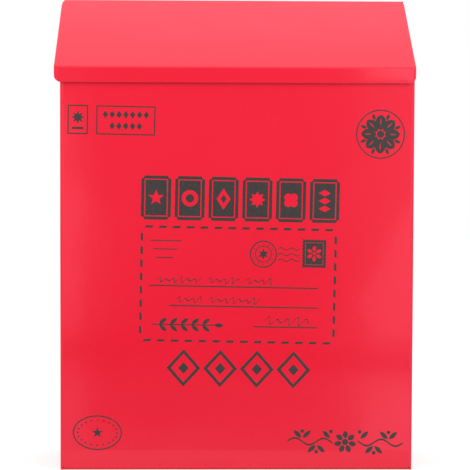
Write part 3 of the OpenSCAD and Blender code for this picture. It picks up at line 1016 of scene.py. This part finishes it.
left_edge = calc("SUBTRACT", left_edge_low, leaning(left_lean, left_bend))
right_edge = calc("ADD", right_edge_low, leaning(right_lean, right_bend))
left_side = ramp(calc("SUBTRACT", left_edge, across), -zone_softness, zone_softness)
right_side = ramp(calc("SUBTRACT", across, right_edge), -zone_softness, zone_softness)
below = ramp(rise, start=-0.118, end=-0.128)
left_loss_below = calc("MULTIPLY", below, 0.15)
left_level = ramp(rise, start=-0.1, end=-0.065, low=0.72, high=0.95)
left_level = calc("SUBTRACT", left_level, left_loss_below)
right_level = ramp(across, start=0.10, end=0.118, low=0.87, high=1.02)
left_light = calc("MULTIPLY", left_side, left_level)
right_light = calc("MULTIPLY", right_side, right_level)
upper = ramp(rise, start=0.034, end=0.042)
upper_right = calc("MULTIPLY", upper, ramp(across, start=0.085, end=0.107, high=1.7))
upper_left = calc("MULTIPLY", upper, ramp(across, start=-0.05, end=-0.07, high=0.25))
side_lights = calc("MAXIMUM", left_light, right_light)
side_lights = calc("MAXIMUM", side_lights, calc("MAXIMUM", upper_right, upper_left))
right_glow = ramp(across, start=0.05, end=0.13, high=0.42)
left_glow = ramp(across, start=-0.05, end=-0.075, high=0.14)
low_glow = ramp(rise, start=-0.158, end=-0.168, high=0.28)
glow = calc("ADD", calc("MAXIMUM", right_glow, left_glow), low_glow)
print("room has", len(room.nodes), "nodes so far")

# %% [markdown]
# The room in front is dim between its zones, and a dark line runs across it where its far floor
# begins. Further round it turns even, then bright overhead and behind. What lies behind is a little
# brighter low down, so the lid's slope gets paler towards its rear edge. To the camera itself the
# world is plain white, which adds no light to the box.

# %% Room brightness
far = 0.72
overhead = 1.0
horizon_rise = -0.1207
horizon_tilt = 0.034
dim_gain_below = calc("MULTIPLY", below, 0.13)
dim = calc("ADD", ramp(rise, start=-0.1, end=-0.03, low=0.12, high=0.22), dim_gain_below)
front_room = calc("ADD", dim, calc("MAXIMUM", side_lights, glow))
tilted_rise = calc("ADD", rise, calc("MULTIPLY", across, horizon_tilt))
off_horizon = calc("ABSOLUTE", calc("SUBTRACT", tilted_rise, horizon_rise))
front_room = calc("MULTIPLY", front_room, ramp(off_horizon, start=0.0025, end=0.010, low=0.08))
front_room = mixed(front_room, far, ramp(calc("ABSOLUTE", across), start=0.16, end=0.4))
front_room = mixed(front_room, overhead, ramp(rise, start=0.25, end=0.8))
behind = ramp(rise_behind, start=1.87, end=1.70, low=0.88, high=1.2)
light = mixed(front_room, behind, ramp(parts["Y"], start=-0.05, end=0.05))
path = place(room, "ShaderNodeLightPath").outputs
strength = place(
    room,
    "ShaderNodeMix",
    {"Factor": path["Is Camera Ray"], "A": light, "B": 1.0},
    data_type="FLOAT",
).outputs["Result"]
background = place(room, "ShaderNodeBackground", {"Color": (1, 1, 1, 1), "Strength": strength})
place(room, "ShaderNodeOutputWorld", {"Surface": background.outputs["Background"]})
print("room has", len(room.nodes), "nodes")

# %% [markdown]
# Two large soft lamps stand left and right, above and in front. They round the folds with light and
# are too large to leave a hard glint on the glossy coat. The right one is slightly the stronger.

# %% Lamps


def area_lamp(name, stand, aim, size, power):
    data = bpy.data.lights.new(name, "AREA")
    data.size = size
    data.energy = power
    lamp = bpy.data.objects.new(name, data)
    bpy.context.collection.objects.link(lamp)
    turned = (Vector(aim) - Vector(stand)).to_track_quat("-Z", "Y")
    lamp.matrix_world = Matrix.Translation(stand) @ turned.to_matrix().to_4x4()


lamp_out, lamp_up, lamp_size = 0.75, 0.7, 0.7
lamp_aim = (0, 0, -0.05)
area_lamp("left_lamp", (-lamp_out, -lamp_out, lamp_up), lamp_aim, lamp_size, 4.2)
area_lamp("right_lamp", (lamp_out, -lamp_out, lamp_up), lamp_aim, lamp_size, 5.0)
bpy.context.scene.view_settings.view_transform = "Standard"
print("lamps", len(bpy.data.lights))
